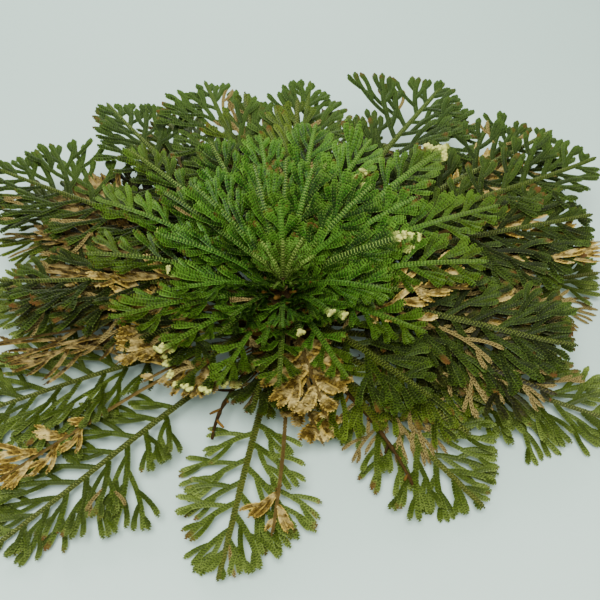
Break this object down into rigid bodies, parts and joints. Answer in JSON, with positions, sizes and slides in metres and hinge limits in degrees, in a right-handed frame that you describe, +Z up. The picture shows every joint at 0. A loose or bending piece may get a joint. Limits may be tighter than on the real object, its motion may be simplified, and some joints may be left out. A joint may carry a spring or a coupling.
{
  "type": "rose of jericho plant",
  "caption": "Opened resurrection spikemoss: a rosette of flat forked fronds on a short root crown, resting on its foot.",
  "frame": {"origin": "middle of the root crown's flat foot, on the surface that the plant rests on", "axes": "+Z up out of the crown, +X to the right seen from the front, +Y to the back, where the fronds are raised"},
  "size_m": [0.2631, 0.2308, 0.0646],
  "materials": {
    "root_crown": "rough",
    "crown_frond": "satin",
    "middle_frond": "satin",
    "lower_frond": "satin",
    "outer_frond": "satin",
    "dry_frond": "matt"
  },
  "bodies": {
    "root": {"root_crown": "root_crown", "heart_fronds": "crown_frond", "inner_fronds": "crown_frond", "crown_frond_1": "crown_frond", "crown_frond_2": "crown_frond", "crown_frond_3": "crown_frond", "crown_frond_4": "crown_frond", "crown_frond_5": "crown_frond", "crown_frond_6": "crown_frond", "crown_frond_7": "crown_frond", "crown_frond_8": "crown_frond", "crown_frond_9": "crown_frond", "crown_frond_10": "crown_frond", "crown_frond_11": "crown_frond", "crown_frond_12": "crown_frond", "crown_frond_13": "crown_frond", "crown_frond_14": "crown_frond", "crown_frond_15": "crown_frond", "crown_frond_16": "crown_frond", "middle_frond_1": "middle_frond", "middle_frond_2": "middle_frond", "middle_frond_3": "middle_frond", "middle_frond_4": "middle_frond", "middle_frond_5": "middle_frond", "middle_frond_6": "middle_frond", "middle_frond_7": "middle_frond", "middle_frond_8": "middle_frond", "middle_frond_9": "middle_frond", "middle_frond_10": "middle_frond", "middle_frond_11": "middle_frond", "middle_frond_12": "middle_frond", "middle_frond_13": "middle_frond", "middle_frond_14": "middle_frond", "lower_frond_1": "lower_frond", "lower_frond_2": "lower_frond", "lower_frond_3": "lower_frond", "lower_frond_4": "lower_frond", "lower_frond_5": "lower_frond", "lower_frond_6": "lower_frond", "lower_frond_7": "lower_frond", "lower_frond_8": "lower_frond", "lower_frond_9": "lower_frond", "lower_frond_10": "lower_frond", "outer_frond_1": "outer_frond", "outer_frond_2": "outer_frond", "outer_frond_3": "outer_frond", "outer_frond_4": "outer_frond", "outer_frond_5": "outer_frond", "outer_frond_6": "outer_frond", "outer_frond_7": "outer_frond", "outer_frond_8": "outer_frond", "outer_frond_9": "outer_frond", "outer_frond_10": "outer_frond", "outer_frond_11": "outer_frond", "dry_spray_1": "dry_frond", "dry_spray_2": "dry_frond", "dry_spray_3": "dry_frond", "dry_spray_4": "dry_frond", "dry_spray_5": "dry_frond"}
  },
  "joints": []
}
